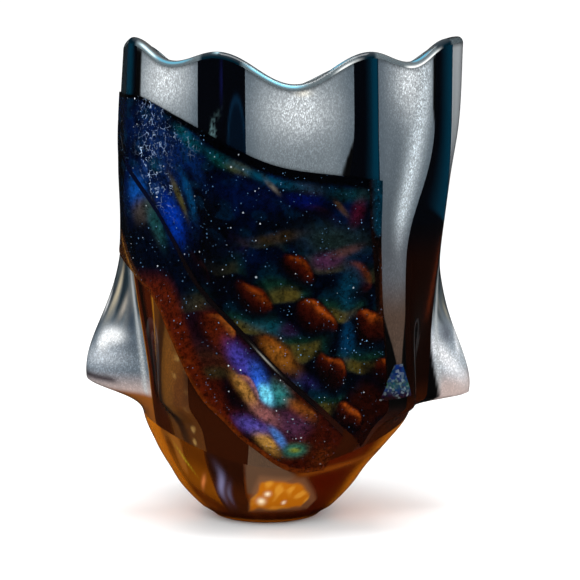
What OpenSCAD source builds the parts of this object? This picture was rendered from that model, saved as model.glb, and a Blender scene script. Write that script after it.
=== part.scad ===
// A hand blown vase of cased glass: an amber body, eight silvered panels under clear
// lobes, eight ribs between them, two pulled wings, a rounded lip and a dichroic overlay.
// The origin is on the table, under the middle of the vase. The front faces -Y, +X is to
// the right, and an azimuth of 0 is the front and grows towards +X.

/* [Overall size] */
// Height of the tallest rib above the table
vase_h = 229; // [222:1:240]
// Radius of the body at the mouth, measured over the ribs
mouth_r = 80; // [76:1:84]
// How far the mouth sits to the right of the wings
mouth_shift = 7.5; // [0:0.5:10]
// How far the foot sits to the left of the wings
foot_shift = 5.5; // [0:0.5:7]
// Turn of the ribs on their way down from the mouth to the wings, in degrees
twist_deg = 7; // [0:1:12]

/* [Glass layers] */
// Thickness of the whole wall of the upper body
wall_t = 5; // [4:0.1:6]
// Thickness of the whole wall of the bowl
bowl_wall_t = 7; // [6:0.1:8]
// Thickness of the clear lobe over each silver strip
casing_t = 2.2; // [1.5:0.1:2.6]
// Thickness of each silver strip
silver_t = 0.6; // [0.4:0.1:0.9]
// Height of the inside floor above the table
floor_z = 19; // [15:1:24]

/* [Lobes and wings] */
// How far the two side wings stand out past the ribs
wing_reach = 25; // [15:1:28]
// How far the lobes sink in between the ribs at the waist
waist_depth = 7.5; // [3:0.5:9]
// Height of the waist above the table
waist_z = 145; // [135:1:155]
// How far each rib stands proud of the upper body
rib_bulge = 1.6; // [0.5:0.1:2.5]
// Height at which the teal ribs end and the amber ribs begin
joint_z = 142; // [130:1:155]

/* [Lip] */
// Height of the rounded lip
lip_h = 3; // [2:0.5:5]
// How much lower the front and back ribs are than the side ribs
rim_sweep = 12.5; // [5:0.5:14]
// Depth of the dip in the lip over the front lobe
front_dip = 12; // [5:1:15]

/* [Foot] */
// Radius of the face that the vase stands on
foot_r = 24.5; // [22:0.5:26]
// Radius of the foot where it meets the body
foot_top_r = 31.8; // [30:0.2:32]
// Height of the foot
foot_h = 5; // [4:0.5:6]

/* [Dichroic overlay] */
// Thickness of the two dichroic sheets
sheet_t = 0.8; // [0.5:0.1:1.2]
// Width of the gap between the two sheets, measured up the vase
seam_gap = 3.4; // [2.6:0.1:4.5]

/* [Hidden] */
// Azimuth of each rib at the mouth
RIB_AZ = [-112, -64.5, -23.5, 23.5, 59.5, 112, 158, 204];
// Each lobe lies between a rib and the next one: wing, front left, front, front right,
// wing, back right, back, back left
LOBES = len(RIB_AZ);
LOBE_REACH = [wing_reach, 13, 8, 15, wing_reach + 2, 14, 10, 14];
LOBE_SHARPNESS = [1.3, 1, 1, 1.1, 1.3, 1, 1, 1];
// Height over which each lobe swells out from the shelf up to its tip
LOBE_RISE = [20, 22, 24, 18, 7, 22, 24, 22];
// Share of the waist that each lobe takes
LOBE_WAIST = [0.15, 0.9, 1, 1, 0.9, 1, 1, 1];
// Depth of the dip in the lip over each lobe, as a share of the front one
LOBE_DIP = [0.33, 0.58, 1, 0.58, 0.04, 0.5, 0.8, 0.5];
// Left and right edge of each silver strip across its lobe, at the mouth and at the wings
STRIP_TOP = [[-0.67, 0.79], [-0.8, 0.62], [-0.65, 0.78], [-0.84, 0.58],
    [-0.9, 0.67], [-0.67, 0.67], [-0.67, 0.67], [-0.67, 0.67]];
STRIP_LOW = [[-0.62, 0.85], [-0.5, 0.31], [-0.74, 0.32], [-0.42, -0.12],
    [-0.61, 0.62], [-0.36, 0.36], [-0.36, 0.36], [-0.36, 0.36]];
// Height and radius of the body, measured over the ribs
OUTLINE = [[0, 25], [5, 32], [15, 41.5], [24, 47.5], [36, 56], [50, 64], [75, 68], [120, 76],
    [170, 80.5], [vase_h, mouth_r]];
// Height and sideways shift of the middle of the body
MIDDLE = [[0, -foot_shift], [25, -0.9 * foot_shift], [50, -0.15 * foot_shift], [75, 0.4],
    [vase_h, mouth_shift]];
// Height at which the twist of the ribs ends
TWIST_END_Z = 60;
// Share of a lobe's reach that is lost per millimetre of depth, so that wings are thicker
THICKEN = 0.03;
// Depth of the amber body below the outside
LEDGE_D = casing_t + silver_t;
// Half of the angle that a rib's bulge spreads over, and the spread of waist and wing
RIB_SPREAD = 6;
WAIST_SPREAD = 28;
WING_SPREAD = 37;
// Rows of facets from foot to shelf, shelf to wing tip, wing tip to joint, joint to lip
ZONE_ROWS = [4, 4, 5, 6];
SHELF_ROW = ZONE_ROWS[0];
JOINT_ROW = ZONE_ROWS[0] + ZONE_ROWS[1] + ZONE_ROWS[2];
TOP_ROW = JOINT_ROW + ZONE_ROWS[3];
// Rings of facets inside the bowl, facets over the lip, and grid of an overlay sheet
BOWL_RINGS = 4;
LIP_STEPS = 6;
SHEET_COLS = 22;
SHEET_ROWS = 9;
// Edges of the overlay as azimuth and height: top edge, seam and bottom edge
SHEET_TOP = [[-88, 203], [-68, 201], [-55, 199.5], [-29, 185.5], [-5, 170], [18, 165], [44, 161]];
SHEET_SEAM = [[-88, 193], [-65, 173], [-54, 157], [-43, 136], [-15, 98], [19, 58], [44, 38]];
SHEET_LOW = [[-88, 132], [-54, 113], [-38, 93], [-25, 62], [-12, 46], [10, 31], [32, 30]];
// Right edge of the upper sheet: azimuth at its top and at its foot
UPPER_RIGHT = [31, 43];
// The chip that lies right of the overlay: azimuth and height of its low and high corners
CHIP_LOW = [36.5, 63];
CHIP_HIGH = [47, 81];

// ---- curves -------------------------------------------------------------------------

function clamp(x, low, high) = max(low, min(high, x));
function mix(a, b, t) = a + (b - a) * t;
function ease(low, high, x) = let (t = clamp((x - low) / (high - low), 0, 1)) t * t * (3 - 2 * t);
function bump(x, middle, spread) = exp(-pow((x - middle) / spread, 2));

// The span of a point list that x lies in
function span_at(points, x, i = 0) =
    i >= len(points) - 2 || x < points[i + 1][0] ? i : span_at(points, x, i + 1);

// Slope of a smooth curve through a point list, at its point i
function slope_at(points, i) =
    let (before = points[max(i - 1, 0)], after = points[min(i + 1, len(points) - 1)])
    (after[1] - before[1]) / (after[0] - before[0]);

// Smooth curve through a list of points, each with its x first
function curve(points, x) =
    let (
        i = span_at(points, x),
        width = points[i + 1][0] - points[i][0],
        t = clamp((x - points[i][0]) / width, 0, 1),
        rise = t * t * (3 - 2 * t)
    )
    mix(points[i][1], points[i + 1][1], rise)
        + width * slope_at(points, i) * t * (1 - t) * (1 - t)
        - width * slope_at(points, i + 1) * t * t * (1 - t);

// ---- shape of the glass -------------------------------------------------------------

// Azimuth of rib i, counted on past the last one
function rib_az(i) = RIB_AZ[i % LOBES] + 360 * floor(i / LOBES);

// Azimuth across lobe k, with u from -1 at its left rib to 1 at its right rib
function lobe_az(k, u) = mix(rib_az(k), rib_az(k + 1), (u + 1) / 2);
function lobe_half_az(k) = (rib_az(k + 1) - rib_az(k)) / 2;

// Turn of the glass and sideways shift of its middle at height z
function twist(z) = twist_deg * clamp((vase_h - z) / (vase_h - TWIST_END_Z), 0, 1);
function lean(z) = curve(MIDDLE, z);

// How much an azimuth faces sideways: 0 at the front and back, 1 at the sides
function sideways(az) = pow(sin(az), 2);

// Heights that change around the vase: the shelf under the lobes, the wing tips, the lip
function shelf_z(az) = 32 + 19 * sideways(az);
function tip_z(az) = 61.5 + (2 - 5 * sin(az)) * sideways(az);
function rim_z(k, u) =
    let (az = lobe_az(k, u))
    vase_h - rim_sweep * (1 - sideways(az)) - front_dip * LOBE_DIP[k] * pow(cos(90 * u), 2);

// Share of a lobe's reach at height z: it swells from below and fades upwards
function wing(z, tip, rise) =
    z < tip ? pow(ease(tip - rise, tip, z), 1 + rise / 20) : bump(z, tip, WING_SPREAD);

// Radius of the outside, with a wing that is thicker than the wall by its depth d
function outer_r(k, u, z, d) =
    let (
        across = pow(cos(90 * u), 2 * LOBE_SHARPNESS[k]),
        swell = wing(z, tip_z(lobe_az(k, u)), LOBE_RISE[k]),
        reach = LOBE_REACH[k] * swell * (1 - THICKEN * d),
        waist = waist_depth * LOBE_WAIST[k] * bump(z, waist_z, WAIST_SPREAD),
        from_rib = (1 - abs(u)) * lobe_half_az(k),
        bulge = rib_bulge * ease(80, 170, z) * bump(from_rib, 0, RIB_SPREAD)
    )
    curve(OUTLINE, z) + across * (reach - waist) + bulge;

// A point of the glass at depth d below the outside, square to the outline of the ribs
function glass_point(k, u, z, d) =
    let (
        slope = curve(OUTLINE, z + 0.5) - curve(OUTLINE, z - 0.5),
        square = sqrt(1 + slope * slope),
        r = outer_r(k, u, z, d) - d / square,
        az = lobe_az(k, u) + twist(z)
    )
    [lean(z) + r * sin(az), -r * cos(az), z + d * slope / square];

// Thickness of the whole wall at height z
function wall_at(z) = mix(bowl_wall_t, wall_t, ease(TWIST_END_Z, 110, z));

// ---- the grid that neighbouring pieces share -----------------------------------------

// Left and right edge of silver strip k at height z
function strip_edges(k, z) = mix(STRIP_LOW[k], STRIP_TOP[k], ease(70, 190, z));

// The eight columns of a lobe: its rib, the rib's flank, the strip, and the other flank
function column_u(c, edges) =
    let (
        left = edges[0],
        right = edges[1],
        crest = clamp(0, mix(left, right, 0.2), mix(left, right, 0.8))
    )
    [
        -1, (left - 1) / 2, left, (left + crest) / 2,
        crest, (crest + right) / 2, right, (right + 1) / 2
    ][c];
COLUMNS = 8;
STRIP_LEFT = 2;
STRIP_RIGHT = 6;

// Bounds of the four zones of rows in lobe k at u
function zone_z(k, u) =
    let (az = lobe_az(k, u))
    [foot_h, shelf_z(az), tip_z(az), joint_z, rim_z(k, u) - lip_h];

// Height of a row: its place is counted on through the zones
function row_z(bounds, row, zone = 0) =
    zone == 3 || row <= ZONE_ROWS[zone]
        ? mix(bounds[zone], bounds[zone + 1], row / ZONE_ROWS[zone])
        : row_z(bounds, row - ZONE_ROWS[zone], zone + 1);

// Grid point: column counted all round the vase, row, and depth below the outside. A
// depth below 0 stands for the inside of the wall.
INSIDE = -1;
function grid_point(column, row, d) =
    let (
        k = floor(column / COLUMNS) % LOBES,
        c = column % COLUMNS,
        guess_z = row_z(zone_z(k, column_u(c, STRIP_TOP[k])), row),
        u = column_u(c, strip_edges(k, guess_z)),
        z = row_z(zone_z(k, u), row)
    )
    glass_point(k, u, z, d == INSIDE ? wall_at(z) : d);

function grid_row(from, to, row, d) = [for (c = [from : to]) grid_point(c, row, d)];
function grid_ring(row, d) = grid_row(0, COLUMNS * LOBES - 1, row, d);

// ---- solids from grids of points -----------------------------------------------------

function flat(lists) = [for (list = lists, item = list) item];

// The two triangles between a pair of points and the next pair, seen from outside
function quad(a, b, next_a, next_b) = [[a, b, next_b], [a, next_b, next_a]];

// A solid between an outer and an inner grid of points, both as rows from low to high
module slab(outer, inner) {
    rows = len(outer);
    cols = len(outer[0]);
    o = function (c, r) r * cols + c;
    n = function (c, r) (rows + r) * cols + c;
    last_c = cols - 1;
    last_r = rows - 1;
    polyhedron(
        points = concat(flat(outer), flat(inner)),
        faces = flat(concat(
            [for (r = [0 : last_r - 1], c = [0 : last_c - 1])
                quad(o(c, r), o(c, r + 1), o(c + 1, r), o(c + 1, r + 1))],
            [for (r = [0 : last_r - 1], c = [0 : last_c - 1])
                [[n(c, r), n(c + 1, r + 1), n(c, r + 1)], [n(c, r), n(c + 1, r), n(c + 1, r + 1)]]],
            [for (r = [0 : last_r - 1]) quad(o(0, r), n(0, r), o(0, r + 1), n(0, r + 1))],
            [for (r = [0 : last_r - 1])
                quad(o(last_c, r), o(last_c, r + 1), n(last_c, r), n(last_c, r + 1))],
            [for (c = [0 : last_c - 1]) quad(o(c, 0), o(c + 1, 0), n(c, 0), n(c + 1, 0))],
            [for (c = [0 : last_c - 1])
                quad(o(c, last_r), n(c, last_r), o(c + 1, last_r), n(c + 1, last_r))]
        ))
    );
}

// A solid skinned over closed rings of points, from a low pole to a high one
module ring_stack(low_pole, rings, high_pole) {
    count = len(rings[0]);
    last = len(rings) - 1;
    at = function (c, r) 1 + r * count + c % count;
    high = 1 + len(rings) * count;
    polyhedron(
        points = concat([low_pole], flat(rings), [high_pole]),
        faces = concat(
            [for (c = [0 : count - 1]) [0, at(c, 0), at(c + 1, 0)]],
            flat([for (r = [0 : last - 1], c = [0 : count - 1])
                quad(at(c, r), at(c, r + 1), at(c + 1, r), at(c + 1, r + 1))]),
            [for (c = [0 : count - 1]) [at(c, last), high, at(c + 1, last)]]
        )
    );
}

// A closed loop of the same cross section all the way round: sections run clockwise
module section_loop(sections) {
    count = len(sections);
    points = len(sections[0]);
    at = function (s, p) (s % count) * points + p % points;
    polyhedron(
        points = flat(sections),
        faces = flat([for (s = [0 : count - 1], p = [0 : points - 1])
            quad(at(s, p), at(s, p + 1), at(s + 1, p), at(s + 1, p + 1))])
    );
}

// ---- the pieces ----------------------------------------------------------------------

module foot_pad() {
    color([0.20, 0.07, 0.01])
        translate([lean(0), 0, 0])
            rotate_extrude($fn = 96)
                polygon([[0, 0], [foot_r, 0], [foot_r + 1.2, 0.8], [foot_top_r, foot_h], [0, foot_h]]);
}

// The body is a bowl with a ledge all round, and a thinner wall above the ledge that
// carries the strips, lobes and ribs
module amber_body() {
    shelf_ring = grid_ring(SHELF_ROW, INSIDE);
    floor_point = [lean(floor_z), 0, floor_z];
    bowl = [for (i = [1 : BOWL_RINGS - 1])
        let (turn = 90 * (1 - i / BOWL_RINGS))
        [for (p = shelf_ring) [
            mix(floor_point[0], p[0], sin(turn)),
            mix(floor_point[1], p[1], sin(turn)),
            mix(floor_point[2], p[2], 1 - cos(turn))
        ]]
    ];
    outside = [for (row = [0 : SHELF_ROW]) grid_ring(row, 0)];
    above_ledge = [for (row = [SHELF_ROW : TOP_ROW]) grid_ring(row, LEDGE_D)];
    inside = [for (row = [TOP_ROW : -1 : SHELF_ROW]) grid_ring(row, INSIDE)];
    color([0.62, 0.27, 0.03])
        ring_stack([lean(foot_h), 0, foot_h], concat(outside, above_ledge, inside, bowl), floor_point);
}

// The lip closes the wall with a rounded top, from the outside over to the inside
module lip_bead() {
    color([0.60, 0.75, 0.80])
        section_loop([for (c = [0 : COLUMNS * LOBES - 1])
            let (
                outer = grid_point(c, TOP_ROW, 0),
                inner = grid_point(c, TOP_ROW, INSIDE)
            )
            [for (i = [0 : LIP_STEPS])
                let (turn = 180 * i / LIP_STEPS)
                mix(outer, inner, (1 - cos(turn)) / 2) + [0, 0, lip_h * sin(turn)]
            ]
        ]);
}

module silver_strip(k) {
    left = COLUMNS * (k - 1) + STRIP_LEFT;
    right = COLUMNS * (k - 1) + STRIP_RIGHT;
    color([0.70, 0.72, 0.75])
        slab(
            [for (row = [SHELF_ROW : TOP_ROW]) grid_row(left, right, row, casing_t)],
            [for (row = [SHELF_ROW : TOP_ROW]) grid_row(left, right, row, LEDGE_D)]
        );
}

module clear_lobe(k) {
    left = COLUMNS * (k - 1) + STRIP_LEFT;
    right = COLUMNS * (k - 1) + STRIP_RIGHT;
    color([0.85, 0.92, 0.95, 0.6])
        slab(
            [for (row = [SHELF_ROW : TOP_ROW]) grid_row(left, right, row, 0)],
            [for (row = [SHELF_ROW : TOP_ROW]) grid_row(left, right, row, casing_t)]
        );
}

// A length of rib k between two rows, from the strip on its left to the one on its right
module rib(k, low_row, high_row) {
    middle = COLUMNS * (k - 1 + LOBES);
    left = middle - COLUMNS + STRIP_RIGHT;
    right = middle + STRIP_LEFT;
    slab(
        [for (row = [low_row : high_row]) grid_row(left, right, row, 0)],
        [for (row = [low_row : high_row]) grid_row(left, right, row, LEDGE_D)]
    );
}

module teal_rib(k) {
    color([0.02, 0.16, 0.22]) rib(k, JOINT_ROW, TOP_ROW);
}

module amber_rib(k) {
    color([0.38, 0.13, 0.02]) rib(k, SHELF_ROW, JOINT_ROW);
}

// ---- the overlay ---------------------------------------------------------------------

// The lobe that an azimuth at the mouth lies in
function lobe_of(az, k = 0) = k == LOBES - 1 || az < rib_az(k + 1) ? k : lobe_of(az, k + 1);

// A point near the outside at a true azimuth and height, d below the outside
function overlay_point(az, z, d) =
    let (
        mouth_az = az - twist(z),
        k = lobe_of(mouth_az),
        u = (mouth_az - rib_az(k)) / lobe_half_az(k) - 1
    )
    glass_point(k, u, z, d);

// A sheet on the outside of the glass between two height curves and two azimuths. The
// right edge slants from its azimuth at the foot to its azimuth at the top.
module overlay(low, high, low_shift, high_shift, left, right_low, right_high, cols, rows) {
    grid = function (d) [for (r = [0 : rows]) [for (c = [0 : cols])
        let (
            az = mix(left, mix(right_low, right_high, r / rows), c / cols),
            z = mix(curve(low, az) + low_shift, curve(high, az) - high_shift, r / rows)
        )
        overlay_point(az, z, d)
    ]];
    slab(grid(-sheet_t), grid(0));
}

module dichroic_upper() {
    color([0.10, 0.45, 0.50])
        overlay(SHEET_SEAM, SHEET_TOP, seam_gap / 2, 0, -85, UPPER_RIGHT[1], UPPER_RIGHT[0],
            SHEET_COLS, SHEET_ROWS);
}

module dichroic_lower() {
    color([0.35, 0.20, 0.55])
        overlay(SHEET_LOW, SHEET_SEAM, 0, seam_gap / 2, -86, 29, 29, SHEET_COLS, SHEET_ROWS);
}

module dichroic_chip() {
    color([0.75, 0.70, 0.60])
        overlay(
            [[CHIP_LOW[0], CHIP_LOW[1]], [CHIP_HIGH[0], CHIP_LOW[1] + 3]],
            [[CHIP_LOW[0], CHIP_HIGH[1] - 2], [CHIP_HIGH[0], CHIP_HIGH[1]]],
            0, 0, CHIP_LOW[0] + 3, CHIP_HIGH[0], CHIP_HIGH[0] - 2, 4, 5
        );
}

// The stringer lies in the gap between the two sheets
module seam_stringer() {
    gap = (seam_gap - 0.4) / 2;
    color([0.15, 0.08, 0.04])
        overlay(SHEET_SEAM, SHEET_SEAM, -gap, -gap, -66, 28, 28, SHEET_COLS, 2);
}

foot_pad();
amber_body();
lip_bead();
silver_strip(1);  // silver_strip_1
silver_strip(2);  // silver_strip_2
silver_strip(3);  // silver_strip_3
silver_strip(4);  // silver_strip_4
silver_strip(5);  // silver_strip_5
silver_strip(6);  // silver_strip_6
silver_strip(7);  // silver_strip_7
silver_strip(8);  // silver_strip_8
clear_lobe(1);  // clear_lobe_1
clear_lobe(2);  // clear_lobe_2
clear_lobe(3);  // clear_lobe_3
clear_lobe(4);  // clear_lobe_4
clear_lobe(5);  // clear_lobe_5
clear_lobe(6);  // clear_lobe_6
clear_lobe(7);  // clear_lobe_7
clear_lobe(8);  // clear_lobe_8
teal_rib(1);  // teal_rib_1
teal_rib(2);  // teal_rib_2
teal_rib(3);  // teal_rib_3
teal_rib(4);  // teal_rib_4
teal_rib(5);  // teal_rib_5
teal_rib(6);  // teal_rib_6
teal_rib(7);  // teal_rib_7
teal_rib(8);  // teal_rib_8
amber_rib(1);  // amber_rib_1
amber_rib(2);  // amber_rib_2
amber_rib(3);  // amber_rib_3
amber_rib(4);  // amber_rib_4
amber_rib(5);  // amber_rib_5
amber_rib(6);  // amber_rib_6
amber_rib(7);  // amber_rib_7
amber_rib(8);  // amber_rib_8
dichroic_upper();
dichroic_lower();
dichroic_chip();
seam_stringer();
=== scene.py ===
"""Looks of the hand blown vase, around its CAD model and by the same shape formula.

Lengths in the formula are in millimetres, angles in degrees; meshes and lights in metres.
"""

import math

import bpy
import numpy as np
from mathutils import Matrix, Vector


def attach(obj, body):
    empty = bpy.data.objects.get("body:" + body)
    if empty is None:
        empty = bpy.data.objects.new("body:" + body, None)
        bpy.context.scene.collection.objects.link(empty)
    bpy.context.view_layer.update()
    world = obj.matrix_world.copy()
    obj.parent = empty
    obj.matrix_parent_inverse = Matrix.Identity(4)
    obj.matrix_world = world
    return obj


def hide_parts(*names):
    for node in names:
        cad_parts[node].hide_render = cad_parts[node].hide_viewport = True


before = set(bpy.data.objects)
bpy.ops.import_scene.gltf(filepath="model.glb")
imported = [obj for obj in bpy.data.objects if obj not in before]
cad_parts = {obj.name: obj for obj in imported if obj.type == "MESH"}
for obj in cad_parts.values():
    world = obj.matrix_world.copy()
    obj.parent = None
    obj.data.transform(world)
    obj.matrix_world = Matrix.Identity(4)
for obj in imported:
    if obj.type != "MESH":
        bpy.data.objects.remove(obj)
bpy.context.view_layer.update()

MM = 0.001

# ---- shape of the glass ----

VASE_H = 229.0
MOUTH_R = 80.0
MOUTH_SHIFT = 7.5
FOOT_SHIFT = 5.5
TWIST = 7.0
TWIST_END_Z = 60.0
WALL_T = 5.0
BOWL_WALL_T = 7.0
LEDGE_D = 2.8
FLOOR_Z = 19.0
FOOT_H = 5.0
FOOT_R = 24.5
LIP_H = 3.0
JOINT_Z = 142.0
WAIST_DEPTH = 7.5
WAIST_Z = 145.0
WAIST_SPREAD = 28.0
WING_SPREAD = 37.0
RIB_BULGE = 1.6
RIB_SPREAD = 6.0
RIM_SWEEP = 12.5
FRONT_DIP = 12.0
THICKEN = 0.03
SHEET_T = 0.8
SEAM_GAP = 3.4
# How far an opaque piece sinks into the clear one that it touches
SINK = 0.05

LOBES = 8
LEFT_WING, LEAF_LOBE, MIDDLE_LOBE, TAPER_LOBE, RIGHT_WING = range(5)
WINGS = (LEFT_WING, RIGHT_WING)
RIB_AZ = np.array([-112, -64.5, -23.5, 23.5, 59.5, 112, 158, 204])
LOBE_REACH = np.array([25, 13, 8, 15, 27, 14, 10, 14.0])
LOBE_SHARPNESS = np.array([1.3, 1, 1, 1.1, 1.3, 1, 1, 1])
LOBE_RISE = np.array([20, 22, 24, 18, 7, 22, 24, 22.0])
LOBE_WAIST = np.array([0.15, 0.9, 1, 1, 0.9, 1, 1, 1])
LOBE_DIP = np.array([0.33, 0.58, 1, 0.58, 0.04, 0.5, 0.8, 0.5])
STRIP_TOP = np.array([(-0.67, 0.79), (-0.8, 0.62), (-0.65, 0.78), (-0.84, 0.58), (-0.9, 0.67)]
                     + 3 * [(-0.67, 0.67)])
STRIP_LOW = np.array([(-0.62, 0.85), (-0.5, 0.31), (-0.74, 0.32), (-0.42, -0.12), (-0.61, 0.62)]
                     + 3 * [(-0.36, 0.36)])
OUTLINE = [(0, 25), (5, 32), (15, 41.5), (24, 47.5), (36, 56), (50, 64), (75, 68), (120, 76),
           (170, 80.5), (VASE_H, MOUTH_R)]
MIDDLE = [(0, -FOOT_SHIFT), (25, -0.9 * FOOT_SHIFT), (50, -0.15 * FOOT_SHIFT), (75, 0.4),
          (VASE_H, MOUTH_SHIFT)]
# Edges of the overlay as azimuth and height
SHEET_TOP = [(-88, 203), (-68, 201), (-55, 199.5), (-29, 185.5), (-5, 170), (18, 165), (44, 161)]
SHEET_SEAM = [(-88, 193), (-65, 173), (-54, 157), (-43, 136), (-15, 98), (19, 58), (44, 38)]
SHEET_LOW = [(-88, 132), (-54, 113), (-38, 93), (-25, 62), (-12, 46), (10, 31), (32, 30)]
# Azimuth of the upper sheet's right side, at the bottom and at the top
UPPER_RIGHT = (43, 31)
CHIP_LOW = (36.5, 63)
CHIP_HIGH = (47, 81)


def mix(a, b, t):
    return a + (b - a) * t


def ease(low, high, x):
    t = np.clip((x - low) / (high - low), 0, 1)
    return t * t * (3 - 2 * t)


def fade(low, high, x):
    return 1 - ease(low, high, x)


def window(a, b, c, d, x):
    """Rises from 0 to 1 between a and b, and falls back between c and d."""
    return ease(a, b, x) * fade(c, d, x)


def bump(x, middle, spread):
    return np.exp(-(((x - middle) / spread) ** 2))


def curve(points, x):
    """Smooth curve through points, each with its x first."""
    xs, ys = np.array(points, float).T
    last = len(xs) - 1
    before = np.maximum(np.arange(last + 1) - 1, 0)
    after = np.minimum(np.arange(last + 1) + 1, last)
    slope = (ys[after] - ys[before]) / (xs[after] - xs[before])
    i = np.clip(np.searchsorted(xs, x, side="right") - 1, 0, last - 1)
    width = xs[i + 1] - xs[i]
    t = np.clip((x - xs[i]) / width, 0, 1)
    rise = t * t * (3 - 2 * t)
    return (
        mix(ys[i], ys[i + 1], rise)
        + width * slope[i] * t * (1 - t) ** 2
        - width * slope[i + 1] * t * t * (1 - t)
    )


def sin_deg(x):
    return np.sin(np.radians(x))


def cos_deg(x):
    return np.cos(np.radians(x))


def rib_az(i):
    """Azimuth of rib i at the mouth, counted on past the last one."""
    return RIB_AZ[np.mod(i, LOBES)] + 360.0 * np.floor_divide(i, LOBES)


def lobe_az(k, u):
    """Azimuth across lobe k, with u from -1 at its left rib to 1 at its right rib."""
    return mix(rib_az(k), rib_az(k + 1), (u + 1) / 2)


def twist(z):
    return TWIST * np.clip((VASE_H - z) / (VASE_H - TWIST_END_Z), 0, 1)


def sideways(az):
    return sin_deg(az) ** 2


def shelf_z(az):
    return 32 + 19 * sideways(az)


def tip_z(az):
    return 61.5 + (2 - 5 * sin_deg(az)) * sideways(az)


def rim_z(k, u):
    dip = FRONT_DIP * LOBE_DIP[k % LOBES] * cos_deg(90 * u) ** 2
    return VASE_H - RIM_SWEEP * (1 - sideways(lobe_az(k, u))) - dip


def wing(z, tip, rise):
    """Share of a lobe's reach: it swells up to its tip and fades above."""
    below = ease(tip - rise, tip, z) ** (1 + rise / 20)
    return np.where(z < tip, below, bump(z, tip, WING_SPREAD))


def outer_r(k, u, z, depth):
    lobe = k % LOBES
    across = np.clip(cos_deg(90 * u), 0, 1) ** (2 * LOBE_SHARPNESS[lobe])
    swell = wing(z, tip_z(lobe_az(k, u)), LOBE_RISE[lobe])
    reach = LOBE_REACH[lobe] * swell * (1 - THICKEN * depth)
    waist = WAIST_DEPTH * LOBE_WAIST[lobe] * bump(z, WAIST_Z, WAIST_SPREAD)
    half_az = (rib_az(k + 1) - rib_az(k)) / 2
    from_rib = (1 - np.abs(u)) * half_az
    bulge = RIB_BULGE * ease(80, 170, z) * bump(from_rib, 0, RIB_SPREAD)
    return curve(OUTLINE, z) + across * (reach - waist) + bulge


def glass_point(k, u, z, depth):
    """A point of the glass at a depth below the outside, in millimetres."""
    slope = curve(OUTLINE, z + 0.5) - curve(OUTLINE, z - 0.5)
    square = np.sqrt(1 + slope * slope)
    r = outer_r(k, u, z, depth) - depth / square
    az = lobe_az(k, u) + twist(z)
    x = curve(MIDDLE, z) + r * sin_deg(az)
    y = -r * cos_deg(az)
    return np.stack([x, y, z + depth * slope / square], axis=-1)


def wall_at(z):
    return mix(BOWL_WALL_T, WALL_T, ease(TWIST_END_Z, 110, z))


def strip_edge(k, side, z):
    """Left (side 0) or right (side 1) edge of the silver strip of lobe k."""
    lobe = k % LOBES
    return mix(STRIP_LOW[lobe, side], STRIP_TOP[lobe, side], ease(70, 190, z))


def rows_between(k, u_at, share, low_of, high_of):
    """Places (u, z) at a share of the way from a low to a high edge."""
    u = u_at(np.full(share.shape, 190.0))
    for _ in range(3):
        z = mix(low_of(k, u), high_of(k, u), share)
        u = u_at(z)
    return u, mix(low_of(k, u), high_of(k, u), share)


def shelf_edge(k, u):
    return shelf_z(lobe_az(k, u))


def joint_edge(k, u):
    return np.full(np.shape(u), JOINT_Z)


def top_edge(k, u):
    return rim_z(k, u) - LIP_H


# ---- meshes from grids of points ----


def new_object(name, data):
    obj = bpy.data.objects.new(name, data)
    bpy.context.scene.collection.objects.link(obj)
    return obj


def new_mesh(name, points, quads, triangles=(), crease=35):
    """A smooth object from points, with sharp edges above an angle."""
    mesh = bpy.data.meshes.new(name)
    faces = np.asarray(quads).tolist() + np.asarray(triangles).tolist()
    mesh.from_pydata((np.asarray(points) * MM).tolist(), [], faces)
    mesh.shade_smooth()
    mesh.set_sharp_from_angle(angle=math.radians(crease))
    mesh.update()
    return new_object(name, mesh)


def grid_quads(rows, cols, start=0, flip=False, ring=False):
    """Quads of a grid of points that are numbered row by row."""
    across = cols if ring else cols - 1
    r, c = np.meshgrid(np.arange(rows - 1), np.arange(across), indexing="ij")
    r, c = r.ravel(), c.ravel()
    nxt = (c + 1) % cols
    quads = np.stack([r * cols + c, r * cols + nxt, (r + 1) * cols + nxt, (r + 1) * cols + c], 1)
    return start + (quads[:, ::-1] if flip else quads)


def slab(name, outer, inner, crease=35):
    """A closed piece between an outer and an inner grid."""
    rows, cols = outer.shape[:2]
    count = rows * cols
    points = np.concatenate([outer.reshape(-1, 3), inner.reshape(-1, 3)])
    index = np.arange(count).reshape(rows, cols)
    rim = np.concatenate([index[0, :], index[1:, -1], index[-1, -2::-1], index[-2:0:-1, 0]])
    nxt = np.roll(rim, -1)
    sides = np.stack([rim, rim + count, nxt + count, nxt], 1)
    inside_quads = grid_quads(rows, cols, count, flip=True)
    quads = np.concatenate([grid_quads(rows, cols), inside_quads, sides])
    return new_mesh(name, points, quads, crease=crease)


def glass_slab(name, k, u, z):
    """A panel or rib: it reaches a little into the amber body behind it and below it."""
    inner = glass_point(k, u, z - SINK, LEDGE_D + SINK)
    return slab(name, glass_point(k, u, z, 0.0), inner)


def ring_stack(name, low_pole, rings, high_pole):
    """A closed skin over rings of points, with a pole at each end."""
    count = rings.shape[1]
    points = np.concatenate([[low_pole], rings.reshape(-1, 3), [high_pole]])
    quads = grid_quads(len(rings), count, 1, ring=True)
    c = np.arange(count)
    nxt = (c + 1) % count
    low = np.stack([np.zeros(count, int), 1 + nxt, 1 + c], 1)
    top_row = 1 + (len(rings) - 1) * count
    high = np.stack([top_row + c, top_row + nxt, np.full(count, len(points) - 1)], 1)
    return new_mesh(name, points, quads, np.concatenate([low, high]))


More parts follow.
